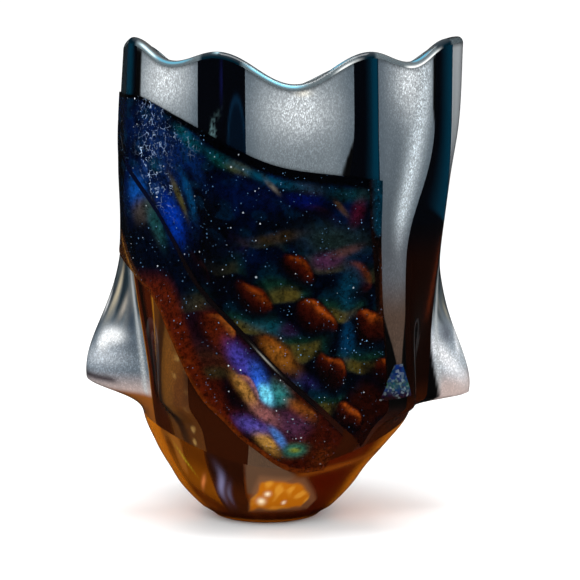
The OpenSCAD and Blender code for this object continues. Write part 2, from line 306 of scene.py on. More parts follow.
def loop(name, sections):
    """A closed loop with the same cross section all the way round."""
    count, points = sections.shape[:2]
    s, p = np.meshgrid(np.arange(count), np.arange(points), indexing="ij")
    s, p = s.ravel(), p.ravel()
    s_next, p_next = (s + 1) % count, (p + 1) % points
    quads = np.stack([
        s * points + p, s_next * points + p, s_next * points + p_next, s * points + p_next,
    ], 1)
    return new_mesh(name, sections.reshape(-1, 3), quads, crease=60)


# Kind and key of a stored value, by its count of numbers
STORED = {1: ("FLOAT", "value"), 3: ("FLOAT_VECTOR", "vector"), 4: ("FLOAT_COLOR", "color")}


def store(obj, name, values, width=1):
    """Stores values for each vertex, repeated for the inside of a slab."""
    kind, key = STORED[width]
    values = np.resize(np.asarray(values, np.float32), (len(obj.data.vertices), width))
    obj.data.attributes.new(name, kind, "POINT").data.foreach_set(key, values.ravel())


# ---- colour helpers ----


def linear(colour):
    """Linear RGB of an sRGB colour given as 0 to 255."""
    c = np.array(colour) / 255.0
    return np.where(c <= 0.04045, c / 12.92, ((c + 0.055) / 1.055) ** 2.4)


class Coat:
    """A linear colour for each point of a grid, painted in layers."""

    def __init__(self, shape, colour):
        self.colours = np.empty(shape + (3,))
        self.colours[:] = linear(colour)

    def lay(self, colour, mask, gain=1.0):
        """Lays an sRGB colour or another coat over this one."""
        over = colour.colours if isinstance(colour, Coat) else linear(colour) * gain
        mask = np.clip(mask, 0, 1)[..., None]
        self.colours = self.colours * (1 - mask) + over * mask


def wobble(x, y, size, seed):
    """Smooth random field from about -1 to 1, in blobs of about a size."""
    rng = np.random.default_rng(seed)
    total = np.zeros(np.shape(x))
    for _ in range(9):
        turn, phase = rng.uniform(0, 2 * math.pi, 2)
        wave = size * rng.uniform(0.7, 1.8)
        total += np.sin(2 * math.pi * (x * math.cos(turn) + y * math.sin(turn)) / wave + phase)
    return total / 3.2


# ---- materials ----


FROST_COLOUR = (0.34, 0.46, 0.66, 1.0)
DUST_COLOUR = (0.1, 0.22, 0.38, 1.0)
SPARK_COLOUR = (0.7, 0.78, 0.86, 1.0)
FLAKE_COLOUR = (0.8, 0.95, 1.0, 1.0)
# Light that the amber glass lets through, and how fast it takes the rest, per metre
PASSED_COLOUR = (0.955, 0.77, 0.02, 1.0)
ABSORPTION = 170.0


class Nodes:
    """The node tree of a material or of the world."""

    def __init__(self, tree):
        self.tree = tree

    def node(self, kind, settings=None, **inputs):
        """Adds a node. An input is a number, a colour or another node's socket."""
        made = self.tree.nodes.new(kind)
        for key, value in (settings or {}).items():
            setattr(made, key, value)
        for key, value in inputs.items():
            self.plug(made, key, value)
        return made

    def plug(self, node, key, value):
        name = key.replace("_", " ")
        socket = node.inputs[int(name[1:])] if name[1:].isdigit() else node.inputs[name]
        if isinstance(value, bpy.types.NodeSocket):
            self.tree.links.new(value, socket)
        else:
            socket.default_value = value

    def math(self, operation, a, b=0.0, clamp=False):
        settings = {"operation": operation, "use_clamp": clamp}
        return self.node("ShaderNodeMath", settings, i0=a, i1=b).outputs[0]

    def blend(self, a, b, factor, kind="MIX"):
        settings = {"data_type": "RGBA", "blend_type": kind}
        return self.node("ShaderNodeMix", settings, i0=factor, i6=a, i7=b).outputs[2]

    def ramp(self, value, low, high, to_low=0.0, to_high=1.0):
        made = self.node("ShaderNodeMapRange", Value=value, From_Min=low, From_Max=high,
                         To_Min=to_low, To_Max=to_high)
        return made.outputs[0]

    def attribute(self, name, output="Color"):
        return self.node("ShaderNodeAttribute", {"attribute_name": name}).outputs[output]

    def noise(self, **inputs):
        return self.node("ShaderNodeTexNoise", **inputs).outputs["Fac"]

    def cells(self, vector, scale, feature="F1"):
        return self.node("ShaderNodeTexVoronoi", {"feature": feature}, Vector=vector, Scale=scale)

    def place(self, space="Object"):
        return self.node("ShaderNodeTexCoord").outputs[space]

    def mirrored(self):
        """1 for a ray that was mirrored on its way."""
        depth = self.node("ShaderNodeLightPath").outputs["Glossy Depth"]
        return self.math("GREATER_THAN", depth, 0.5)

    def grey(self, tone):
        return self.node("ShaderNodeCombineColor", Red=tone, Green=tone, Blue=tone).outputs[0]

    def specks(self, place, scale, rarity, size):
        """Small dots in some of the cells, where it glitters."""
        cells = self.cells(place, scale)
        reach = self.ramp(cells.outputs["Color"], rarity, 1.0, 0.0, size)
        dot = self.math("LESS_THAN", cells.outputs["Distance"], reach)
        return self.math("MULTIPLY", dot, self.attribute("glitter", "Fac"), True)


class Look(Nodes):
    """A node material with one Principled shader."""

    def __init__(self, name, **numbers):
        self.material = bpy.data.materials.new(name)
        self.material.use_nodes = True
        super().__init__(self.material.node_tree)
        self.shader = self.tree.nodes["Principled BSDF"]
        self.output = self.tree.nodes["Material Output"]
        for socket, value in numbers.items():
            self.set(socket, value)

    def set(self, socket, value):
        self.plug(self.shader, socket, value)


def tinted_look(name, clear=False, **numbers):
    """Glass that takes its colour, and maybe how clear it is, from the mesh."""
    look = Look(name, **numbers)
    look.set("Base Color", look.attribute("tint"))
    if clear:
        look.set("Transmission Weight", look.attribute("clear", "Fac"))
    return look


def silver_look():
    """Silvered glass with a fine grain drawn out upwards."""
    look = Look("silver", Metallic=0.3, Coat_Weight=1.0, Coat_Roughness=0.015)
    flow = look.attribute("flow", "Vector")
    place = look.node("ShaderNodeMapping", Vector=flow, Scale=(1.0, 0.6, 1.0)).outputs[0]
    soft = look.noise(Vector=place, Scale=1.5, Detail=3.0, Roughness=0.7)
    fine = look.cells(place, scale=2.8).outputs["Color"]
    spark = look.ramp(fine, 0.45, 0.95, to_low=-0.35, to_high=0.9)
    tone = look.math("ADD", look.ramp(soft, 0.3, 0.7, to_low=-0.3, to_high=0.2), spark)
    tone = look.math("MULTIPLY", tone, look.attribute("grain", "Fac"))
    tone = look.grey(look.math("ADD", tone, 1.0))
    look.set("Base Color", look.blend(look.attribute("tint"), tone, 1.0, "MULTIPLY"))
    look.set("Roughness", look.attribute("rough", "Fac"))
    return look.material


def amber_look():
    """Amber glass, deeper where it is thicker."""
    look = tinted_look("amber_glass", clear=True, Roughness=0.02, IOR=1.5)
    depth = look.node("ShaderNodeVolumeAbsorption", Color=PASSED_COLOUR, Density=ABSORPTION)
    look.plug(look.output, "Volume", depth.outputs[0])
    return look.material


def dichroic_look():
    """Dark mottled film under a clear coat, with lacy frost and glitter."""
    look = Look("dichroic", Metallic=0.1, Coat_Weight=0.8, Coat_Roughness=0.02, Roughness=0.4,
                Specular_IOR_Level=0.0)
    place = look.place()
    mottle = look.noise(Vector=place, Scale=420.0, Detail=5.0, Roughness=0.75)
    tone = look.grey(look.ramp(mottle, 0.36, 0.64, to_low=0.2, to_high=0.95))
    base = look.blend(look.attribute("tint"), tone, 1.0, "MULTIPLY")
    # The frost is made of broken lines between small cells, where its mask is high
    net = look.cells(place, 460.0, "DISTANCE_TO_EDGE").outputs["Distance"]
    breaks = look.noise(Vector=place, Scale=330.0, Detail=3.0, Roughness=0.7)
    breaks = look.ramp(breaks, 0.5, 0.62)
    line = look.math("MULTIPLY", look.ramp(net, 0.07, 0.01), breaks)
    frost = look.math("MULTIPLY", line, look.attribute("frost", "Fac"), True)
    base = look.blend(base, FROST_COLOUR, frost)
    dust = look.specks(place, scale=1050.0, rarity=0.7, size=0.42)
    base = look.blend(base, DUST_COLOUR, dust)
    sparks = look.specks(place, scale=560.0, rarity=0.8, size=0.34)
    look.set("Base Color", look.blend(base, SPARK_COLOUR, sparks))
    return look.material


def chip_look():
    """Coarse glittering flakes."""
    look = Look("flakes", Metallic=0.8, Roughness=0.3, Coat_Weight=1.0, Coat_Roughness=0.03)
    cells = look.cells(look.place(), 900.0).outputs["Color"]
    base = look.blend(look.attribute("tint"), cells, 0.55, "SOFT_LIGHT")
    spark = look.math("MULTIPLY", look.ramp(cells, 0.6, 0.9), 0.6)
    look.set("Base Color", look.blend(base, FLAKE_COLOUR, spark))
    return look.material


# ---- the pieces ----


def finish_piece(obj, colours, material, slot, *nodes):
    opaque = np.ones(colours.shape[:-1] + (1,))
    store(obj, "tint", np.concatenate([colours, opaque], axis=-1), 4)
    obj.data.materials.append(material)
    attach(obj, "root")
    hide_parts(*nodes)


def lerp_grid(cols, rows, start=0):
    """Shares across and up a grid."""
    return np.meshgrid(np.linspace(start, 1, cols), np.linspace(0, 1, rows))


# Dark and cream streaks in the glass, and white and pale blue-white painted highlights and glints
# Strokes on the wings: place across, from 0 at the tip to 1 at the front rib, height, half
# width, half height, lean, colour and strength
WING_STREAKS_AND_HIGHLIGHTS = {
    LEFT_WING: [
        (0.20, 108, 0.05, 12, 0.008, (30, 44, 54), 0.85),
        (0.0, 105, 0.05, 22, 0.003, (26, 38, 46), 0.8),
        (0.43, 108, 0.03, 10, 0.009, (26, 42, 54), 0.85),
        (0.62, 98, 0.08, 12, 0.0, (48, 62, 78), 0.8),
        (0.60, 84, 0.1, 6, 0.0, (72, 86, 98), 0.6),
        (0.34, 112, 0.05, 11, 0.008, (206, 192, 162), 0.9),
        (0.50, 103, 0.045, 6, 0.011, (182, 174, 162), 0.8),
        (0.28, 79, 0.26, 5, 0.0, (206, 214, 222), 0.75),
        (0.38, 89, 0.13, 3.6, 0.0, (250, 253, 255), 1.3),
        (0.28, 86, 0.07, 4, 0.0, (250, 253, 255), 1.2),
        (0.10, 104, 0.035, 5.5, 0.0, (250, 253, 255), 1.2),
    ],
    RIGHT_WING: [
        (0.80, 116, 0.05, 14, 0.0, (176, 184, 180), 0.7),
        (0.54, 101, 0.06, 12, 0.02, (30, 50, 62), 0.85),
        (0.26, 99, 0.05, 5, 0.015, (176, 168, 146), 0.75),
        (0.36, 88, 0.12, 4.5, 0.0, (96, 102, 114), 0.85),
        (0.42, 77, 0.12, 11, 0.0178, (246, 248, 252), 1.2),
        (0.15, 85, 0.05, 8, -0.0107, (242, 246, 252), 1.2),
        (0.03, 80, 0.12, 8, 0.0, (236, 243, 246), 0.9),
    ],
}
# Strength of a stroke's mirror image behind the tip
MIRRORED_SHARE = 0.6
# Painted highlight of each silvered panel: place across, half width, height, half height
PAINTED_HIGHLIGHT = [(0.5, 0.3, 205, 30), (0.5, 0.34, 207, 11), (0.48, 0.28, 193, 11), (0.5, 0.3, 206, 16),
         *4 * [(0.5, 0.3, 205, 40)]]
# Where the silver of three panels starts, and where it ends at the top and lower down
STRIP_MARGINS = {LEAF_LOBE: (0.09, 1.1, 1.1), MIDDLE_LOBE: (-0.1, 1.1, 0.93),
                 TAPER_LOBE: (-0.1, 0.94, 1.1)}


def front_tint(k, across, z):
    """Colour and grain of a grey panel, with a painted highlight above, painted shade at the
    sides and brown below.
    """
    middle, width, high, reach = PAINTED_HIGHLIGHT[k]
    highlight = bump(across, middle, width) * bump(z, high, reach)
    from_side = np.minimum(across, 1 - across)
    base = Coat(z.shape, (116, 127, 134))
    # Painted shade towards the sides, and the painted highlight
    base.lay((80, 94, 105), 0.8 * fade(0, 0.2, from_side))
    base.lay((226, 232, 236), 0.85 * highlight)
    grain = 0.3 + 0.5 * highlight + 0.12 * ease(0.1, 0.4, from_side)
    if k == TAPER_LOBE:
        # Painted shade on the left part, and a painted highlight streak on the right
        base.lay((84, 96, 106), 0.7 * fade(0.3, 0.6, across) * (1 - highlight))
        highlight_at = 0.72 + 0.03 * wobble(z, z * 0, 40, 21)
        streak = bump(across, highlight_at, 0.13) * ease(118, 150, z)
        base.lay((226, 238, 246), 0.7 * streak * (1 - highlight))
        grain = grain + 0.5 * streak
    base.lay((84, 86, 92), 0.75 * fade(125, 150, z))
    base.lay((80, 58, 42), 0.9 * fade(100, 124, z))
    if k == TAPER_LOBE:
        # The strip runs out to a point, and the glass beside and below it is bare
        wide = ease(74, 108, z)
        beside = ease(0.0, 0.06, np.abs(across - mix(0.6, 0.5, wide)) - mix(0.06, 0.5, wide))
        base.lay((4, 3, 4), np.maximum(beside, fade(70, 76, z)))
        base.lay((72, 26, 4), fade(48, 64, z))
    else:
        base.lay((98, 72, 52), fade(50, 60, z))
    if k == MIDDLE_LOBE:
        # A small painted glint near the top
        base.lay((255, 252, 240), bump(across, 0.53, 0.07) * bump(z, 200.5, 1.3))
    if k in STRIP_MARGINS:
        left, right_high, right_low = STRIP_MARGINS[k]
        right = mix(right_low, right_high, ease(165, 200, z))
        past = ease(-0.01, 0.01, np.maximum(left - across, across - right))
        base.lay((2, 3, 6), past * ease(120, 130, z))
    return base, grain


def wing_tint(k, u, z):
    """Colour and grain of a wing: streaked above, bright below with painted highlights, with a
    pink edge.
    """
    is_left = k == LEFT_WING
    turn = u if is_left else -u
    streak = wobble(turn * 40 / (0.4 + ease(60, 140, z)), z * 0.16, 8, 11 + k)
    upper = Coat(z.shape, (84, 96, 102))
    upper.lay((34, 50, 58), ease(0.0, 0.7, -streak))
    upper.lay((128, 126, 118), 0.7 * ease(0.3, 0.8, streak))
    base = Coat(z.shape, (104, 118, 130) if is_left else (158, 170, 180))
    base.lay((206, 182, 174), 0.9 * fade(62, 74, z))
    base.lay(upper, ease(86, 104, z))
    # Streaks and painted highlights, each with a weaker mirror image behind the tip
    for place, height, half_width, half_height, lean, colour, strength in WING_STREAKS_AND_HIGHLIGHTS[k]:
        for side, share in ((1, 1.0), (-1, MIRRORED_SHARE)):
            away = side * turn - place - lean * (z - height)
            mask = bump(away, 0, half_width) * bump(z, height, half_height)
            base.lay(colour, share * strength * mask)
    base.lay((96, 110, 120), ease(130, 165, z) * 0.7)
    base.lay((4, 40, 52) if is_left else (206, 212, 216), ease(150, 185, z) * 0.85)
    # Bright line along the front edge
    from_edge = np.abs(strip_edge(k, 1 if is_left else 0, z) - u)
    base.lay((196, 202, 204), 0.8 * bump(from_edge, 0.1, 0.035) * fade(118, 135, z))
    if is_left:
        # Painted shade: a dark line under the wing tip
        crease = bump(z, 69.5 - 6 * (turn - 0.2), 1.5) * window(-0.1, 0.1, 0.38, 0.48, turn)
        base.lay((44, 30, 38), 0.9 * crease)
    else:
        bare = ease(0, 0.04, turn - 0.44 - 0.0055 * (z - 57.5))
        base.lay((4, 3, 4), bare * fade(86, 94, z))
    # Warm glass under the tip
    base.lay((150, 82, 12), ease(3.5, 7, tip_z(lobe_az(k, u)) - z))
    return base, 0.1 + 0.5 * bump(z, 78, 14)


def golden_leaf(u, z):
    """Golden leaf, clouded, with pale flecks."""
    gold = Coat(z.shape, (94, 48, 0))
    gold.lay((48, 22, 1), 0.8 * ease(0.1, 0.9, wobble(u * 20, z * 0.12, 8, 52)))
    gold.lay((116, 70, 6), 0.6 * ease(0.2, 0.9, wobble(u * 26, z * 0.1, 8, 53)))
    flecks = ease(0.5, 0.95, wobble(u * 20, z * 0.7, 5, 51))
    gold.lay((190, 150, 80), 0.6 * flecks * bump(u, 0.12 + 0.004 * (z - 60), 0.09))
    return gold


def panel(k, material):
    """Silver strip and clear lobe number k + 1."""
    across, up = lerp_grid(49, 181)

    def u_at(h):
        return mix(strip_edge(k, 0, h), strip_edge(k, 1, h), across)

    u, z = rows_between(k, u_at, up, shelf_edge, top_edge)
    obj = glass_slab(f"silver_panel_{k + 1}", k, u, z)
    tint, grain = wing_tint(k, u, z) if k in WINGS else front_tint(k, across, z)
    tint.lay((54, 62, 66), 0.8 * fade(0.5, 1.4, top_edge(k, u) - z))
    if k == LEAF_LOBE:
        tint.lay(golden_leaf(u, z), fade(118, 128, z))
    store(obj, "rough", 0.3 + 0.15 * grain)
    store(obj, "grain", grain)
    # The grain is laid out along the glass, and shifted for each panel
    round_the_vase = lobe_az(k, u) * 1.38
    store(obj, "flow", np.stack([round_the_vase, z, np.full(z.shape, k * 7.0)], -1), 3)
    nodes = f"silver_strip_{k + 1}", f"clear_lobe_{k + 1}"
    finish_piece(obj, tint.colours, material, "silver_glass", *nodes)


# Teal of the rib glass, painted bright on one flank as light shining through it
TEAL_GLOW = (1, 37, 53)
# The painted teal glow of each rib: its side, and where it starts across the rib
TEAL_GLOW_BAND = [(-1, -0.6), (-1, -0.9), (1, 0.2), (1, -0.4),
             (1, -0.8), (1, -0.2), (1, -0.2), (-1, -0.2)]
GOLDEN_RIB = 1
STREAKED_RIB = 2


def streaked_tint(away, z):
    """The front left rib: a blue arch, a blue line and a pale flake."""
    base = Coat(z.shape, (2, 3, 6))
    arch = np.hypot((away - 0.66) / 0.32, (z - 176) / 22)
    base.lay((2, 9, 20), fade(0.8, 1.1, arch))
    base.lay((5, 26, 44), bump(arch, 1.0, 0.1) * 0.8)
    base.lay((14, 16, 60), bump(away, 0.1, 0.03) * bump(z, 206, 8))
    wisp = away + 0.12 - 0.036 * (z - 190) + 0.08 * wobble(z, away * 30, 9, 31)
    flake = bump(wisp, 0, 0.1) * bump(z, 182, 7) * ease(-0.6, 0.6, wobble(z, away * 30, 3, 33))
    base.lay((92, 122, 126), 0.8 * flake)
    return base


def teal_glow_tint(k, away, z):
    """The upper length of a rib: black, with one flank painted teal as light shining through the
    glass.
    """
    base = Coat(z.shape, (2, 3, 6))
    start = TEAL_GLOW_BAND[k][1]
    band = ease(start, start + 1.0, away) * (1 - 0.75 * ease(0.8, 1.0, away))
    end = JOINT_Z + 5 * (away - 0.6) ** 2
    base.lay(TEAL_GLOW, band * ease(end, end + 3, z))
    return base


def amber_tint(k, away, z):
    """The lower length of a rib: dark red-brown with a warmer flank, painted light shining
    through on most ribs.
    """
    flank = np.abs(away)
    base = Coat(z.shape, (14, 4, 2))
    if k == GOLDEN_RIB:
        base.lay((54, 16, 3), ease(0.1, 0.5, flank))
        base.lay((146, 96, 22), 0.8 * ease(0.8, 0.98, flank) * fade(112, 128, z))
    else:
        # Painted light shining through the flank, on the same side as the teal glow above
        base.lay((66, 20, 2), 0.9 * bump(away, 0.45, 0.3) * ease(92, 108, z))
    base.lay((42, 14, 3), 0.9 * fade(56, 92 if k == STREAKED_RIB else 70, z))
    base.lay((3, 3, 5), ease(122, JOINT_Z, z) * (1 - 0.5 * ease(0.4, 0.9, away)))
    return base


def rib(k, kind, slot, material, low_edge, high_edge):
    """The teal upper length or the amber lower length of rib number k + 1."""
    side, up = lerp_grid(33, 91, start=-1)
    lobe = np.where(side < 0, k - 1, k)

    def u_at(h):
        left = mix(strip_edge(lobe, 1, h), 1, 1 + side)
        right = mix(-1, strip_edge(lobe, 0, h), side)
        return np.where(side < 0, left, right)

    u, z = rows_between(lobe, u_at, up, low_edge, high_edge)
    obj = glass_slab(f"{kind}_rib_glass_{k + 1}", lobe, u, z)
    away = side * TEAL_GLOW_BAND[k][0]
    if kind == "amber":
        tint = amber_tint(k, away, z)
    elif k == STREAKED_RIB:
        tint = streaked_tint(away, z)
    else:
        tint = teal_glow_tint(k, away, z)
    finish_piece(obj, tint.colours, material, slot, f"{kind}_rib_{k + 1}")


def all_round(count):
    """Lobe numbers and places across them, all the way round."""
    k = np.repeat(np.arange(LOBES), count)
    u = np.tile(np.linspace(-1, 1, count, endpoint=False), LOBES)
    return k, u


# Rounded lower edge of the foot: how far out beyond its face, and how high
FOOT_PROFILE = [(-9.8, 0.0), (-0.6, 0.0), (0.0, 0.15), (0.9, 0.5), (1.6, 1.2), (3.6, 2.6)]
BODY_ROWS = 30
LEDGE_ROWS = 4
WALL_ROWS = 60
WELL_ROWS = 24


def amber_body(material):
    """The amber body with its foot, as one clear solid."""
    k, u = all_round(40)

    def ring(z, depth):
        return glass_point(k, u, z, depth)

    foot_middle = np.array([-FOOT_SHIFT, 0, 0])
    out = ring(np.full(u.shape, FOOT_H), 0.0) - [curve(MIDDLE, FOOT_H), 0, 0]
    out = out / np.linalg.norm(out[:, :2], axis=1)[:, None] * [1, 1, 0]
    rings = [foot_middle + out * (FOOT_R + beyond) + [0, 0, z] for beyond, z in FOOT_PROFILE]
    shelf = shelf_z(lobe_az(k, u))
    for share in np.linspace(0, 1, BODY_ROWS):
        rings.append(ring(mix(FOOT_H, shelf, share), 0.0))
    outer_rings = len(rings)
    for depth in np.linspace(0.7, LEDGE_D, LEDGE_ROWS):
        rings.append(ring(shelf, depth))
    top = top_edge(k, u)
    for share in np.linspace(0, 1, WALL_ROWS)[1:]:
        rings.append(ring(mix(shelf, top, share), LEDGE_D))
    for share in np.linspace(1, 0, WALL_ROWS):
        z = mix(shelf, top, share)
        rings.append(ring(z, wall_at(z)))
    # The well narrows down to the middle of the floor
    floor_point = np.array([curve(MIDDLE, FLOOR_Z), 0, FLOOR_Z])
    from_floor = rings[-1] - floor_point
    for i in range(1, WELL_ROWS):
        turn = math.radians(90 * (1 - i / WELL_ROWS))
        weights = np.array([math.sin(turn), math.sin(turn), 1 - math.cos(turn)])
        rings.append(floor_point + from_floor * weights)
    rings = np.array(rings)
    obj = ring_stack("amber_body_and_foot", foot_middle, rings, floor_point)
    colours = paint_body(obj, rings, outer_rings)
    finish_piece(obj, colours, material, "amber_glass", "amber_body", "foot_pad")


def inside(corners, x, y, soft):
    """1 inside a convex outline with clockwise corners, and 0 outside."""
    corners = np.array(corners, float)
    nearest = np.full(np.shape(x), np.inf)
    for (x0, y0), (x1, y1) in zip(corners, np.roll(corners, -1, axis=0)):
        length = math.hypot(x1 - x0, y1 - y0)
        nearest = np.minimum(nearest, ((x - x0) * (y1 - y0) - (y - y0) * (x1 - x0)) / length)
    return ease(-soft, soft, nearest)


# Outlines in the bowl as azimuth and height, and painted glints as azimuth, height and size
GREY_WINDOW = [(-12, 45), (16, 27), (-2, 18), (-11, 18)]
SPOT_SHORE = [(-13, 8), (-4, 28), (21, 26), (36, 13), (33, 8)]
GOLDEN_SPOT = [(-11, 9), (-2, 25), (18, 24), (29, 14), (26, 10)]
PAINTED_GLINTS = [(-3, 14, 1.6), (1, 18, 1.1), (12, 13, 0.8)]


def lay_leaf(tint, az, z, below):
    """Golden leaf in the bowl, with a yellow line and an orange one."""
    leaf = window(-60, -55, -33, -31, az) * ease(13, 20, z + 0.5 * (az + 45))
    tint.lay((78, 36, 2), leaf)
    tint.lay((112, 58, 5), leaf * ease(3, 18, below))
    tint.lay((142, 86, 30), leaf * ease(0.2, 0.9, wobble(az, z * 0.3, 9, 62)) * 0.6)
    tint.lay((176, 160, 34), bump(az + 0.5 * (z - 40), -50, 0.6) * bump(z, 33, 6) * 0.6)
    tint.lay((220, 128, 70), bump(az - 0.8 * (z - 25), -37, 1.2) * bump(z, 22, 3.5) * 0.7)


def lay_rib_end(tint, az, z, below):
    """Dark end of the front left rib in the bowl, with pale streaks of painted reflection."""
    dark = window(-33, -31, -13, -11, az)
    tint.lay((34, 11, 3), dark)
    tint.lay((56, 22, 5), dark * ease(6, 20, below))
    ripple = az + 1.6 * wobble(z, z * 0, 22, 63)
    # Pale bluish streaks: painted reflection
    tint.lay((118, 116, 150), dark * bump(ripple, -28, 2.0) * bump(z, 22, 7) * 0.9)
    tint.lay((92, 88, 112), dark * bump(ripple, -23, 1.5) * bump(z, 17, 5) * 0.7)


def lay_golden_spot(tint, az, z):
    """Glowing golden spot low at the front, with a grey window over it."""
    tint.lay((86, 63, 46), 0.9 * inside(GREY_WINDOW, az, z, 0.8))
    tint.lay((62, 10, 1), window(18, 30, 40, 66, az) * 0.9)
    tint.lay((122, 62, 14), 0.7 * bump(z - 0.12 * az, 26, 1.6) * ease(10, 24, az))
    tint.lay((124, 84, 56), 0.6 * inside(SPOT_SHORE, az, z, 1.6))
    uneven = 1.2 * wobble(az, z * 1.5, 12, 65)
    spot = inside(GOLDEN_SPOT, az + uneven, z + 0.5 * uneven, 1.0)
    tint.lay((176, 98, 12), spot)
    tint.lay((206, 140, 44), spot * ease(0.1, 0.9, wobble(az, z * 1.3, 9, 64)) * 0.8)
    # Painted glints on the golden spot
    for glint_az, glint_z, size in PAINTED_GLINTS:
        tint.lay((255, 236, 200), bump(np.hypot((az - glint_az) * 0.7, z - glint_z), 0, size))


def paint_body(obj, rings, outer_rings):
    """Dark, golden and grey glass in front, bright orange towards the sides as painted light
    glowing through; the sides and back are clear.
    """
    x, y, z = np.moveaxis(rings, -1, 0)
    az = np.degrees(np.arctan2(x - curve(MIDDLE, z), -y))
    back = ease(92, 118, np.abs(az))
    below = shelf_z(az) - z
    tint = Coat(z.shape, (96, 42, 4))
    tint.lay((58, 16, 1), 0.8 * ease(-0.5, 0.6, wobble(az * 0.5, z * 1.6, 22, 61)))
    # Painted light: bright orange towards the sides, where the glass glows
    tint.lay((206, 116, 16), ease(50, 70, np.abs(az)))
    tint.lay((120, 58, 8), back * ease(-0.6, 0.8, wobble(x, y + z * 0.4, 26, 66)) * 0.8)
    lay_leaf(tint, az, z, below)
    lay_rib_end(tint, az, z, below)
    lay_golden_spot(tint, az, z)
    # Dark foot band with a thin glowing line under it
    tint.lay((46, 14, 3), fade(4, 8, z) * 0.85)
    tint.lay((168, 88, 16), 0.8 * fade(1.0, 2.2, z))
    # Only the outside is clouded, most of all in front
    outside = np.arange(len(rings))[:, None] < outer_rings
    front = window(-66, -56, 50, 66, az)
    clear = np.where(outside, 0.3 - 0.28 * front + 0.3 * back, 1.0)
    foot, well = linear([(40, 12, 3), (255, 255, 255)])
    store(obj, "clear", np.concatenate([[1.0], clear.ravel(), [1.0]]))
    return np.concatenate([[foot], tint.colours.reshape(-1, 3), [well]])


# Painted highlights along the lip: lobe, from and to across it, degrees round the bead, colour
LIP_HIGHLIGHTS = [(1, -0.85, -0.1, 36, (216, 246, 255)), (1, -0.4, 0.6, 40, (70, 150, 176)),
              (2, -0.72, 0.25, 36, (130, 214, 240)), (2, 0.45, 0.95, 8, (240, 242, 240)),
              (2, 0.4, 0.85, 66, (60, 150, 180)), (3, -0.3, 0.8, 8, (240, 242, 240)),
              (3, -0.1, 0.6, 66, (60, 150, 180)), (1, 0.84, 1.3, 56, (190, 232, 244)),
              (2, -1.3, -0.94, 56, (190, 232, 244))]


def lip_bead(material):
    """The rounded lip: clear over the strips, dark at the ribs, with crisp painted highlights."""
    k, u = all_round(60)
    z = top_edge(k, u)
    outer = glass_point(k, u, z, 0.0)
    inner = glass_point(k, u, z, wall_at(z))
    degrees = np.linspace(0, 180, 17)
    section = []
    for turn in np.radians(degrees):
        across = (1 - math.cos(turn)) / 2
        section.append(mix(outer, inner, across) + [0, 0, LIP_H * math.sin(turn)])
    obj = loop("lip_bead_glass", np.stack(section, axis=1))
    over_left = ease(-0.08, 0.04, u - strip_edge(k, 0, z))
    over_right = fade(-0.04, 0.08, u - strip_edge(k, 1, z))
    dark = (1 - over_left * over_right)[:, None]
    around, place = np.meshgrid(degrees, u)
    tint = Coat(place.shape, (120, 134, 140))
    tint.lay((50, 48, 46), bump(around, 85, 28))
    tint.lay((1, 22, 32), dark)
    opaque = dark
    # Painted highlights, laid opaque
    for lobe, low, high, middle, colour in LIP_HIGHLIGHTS:
        span = window(low, low + 0.2, high - 0.3, high, place)
        light = span * bump(around, middle, 13) * (k == lobe)[:, None]
        tint.lay(colour, light)
        opaque = np.maximum(opaque, light)
    store(obj, "clear", 0.6 * (1 - opaque))
    finish_piece(obj, tint.colours, material, "lip_glass", "lip_bead")


def overlay_point(az, z, depth):
    """A point near the outside at a true azimuth and height."""
    mouth_az = az - twist(z)
    k = np.clip(np.searchsorted(RIB_AZ, mouth_az, side="right") - 1, 0, LOBES - 1)
    half = (rib_az(k + 1) - rib_az(k)) / 2
    return glass_point(k, (mouth_az - rib_az(k)) / half - 1, z, depth)


def overlay_grid(low, high, shifts, left, right, cols, rows):
    """Azimuths and heights of a grid between two edges that are shifted inwards."""
    across, up = lerp_grid(cols, rows)
    az = mix(left, mix(right[0], right[1], up), across)
    z = mix(curve(low, az) + shifts[0], curve(high, az) - shifts[1], up)
    return az, z


def overlay_piece(name, az, z, dent=0.0):
    outer = overlay_point(az, z, -SHEET_T + dent)
    inner = overlay_point(az, z, SINK)
    return slab(name, outer, inner, crease=50)


# The dichroic coat is dimpled in staggered rows of scales. Distances are in millimetres
# along the surface: s runs round the vase from the front, z runs up.
SURFACE_R = 76.0
SCALE_PITCH = 28.0
ROW_SLOPE = -0.2
# Height of each row at the front, and where one of its scales sits
SCALE_ROWS = [(149, -14), (127, 4.7), (106.5, -13.5), (85, -2.3), (63, -17.8), (41, -6), (20, 8)]
SCALE_LONG = 10.5
SCALE_SHORT = 6.8
SCALE_TILT = -38.0
SCALE_DENT = 0.3

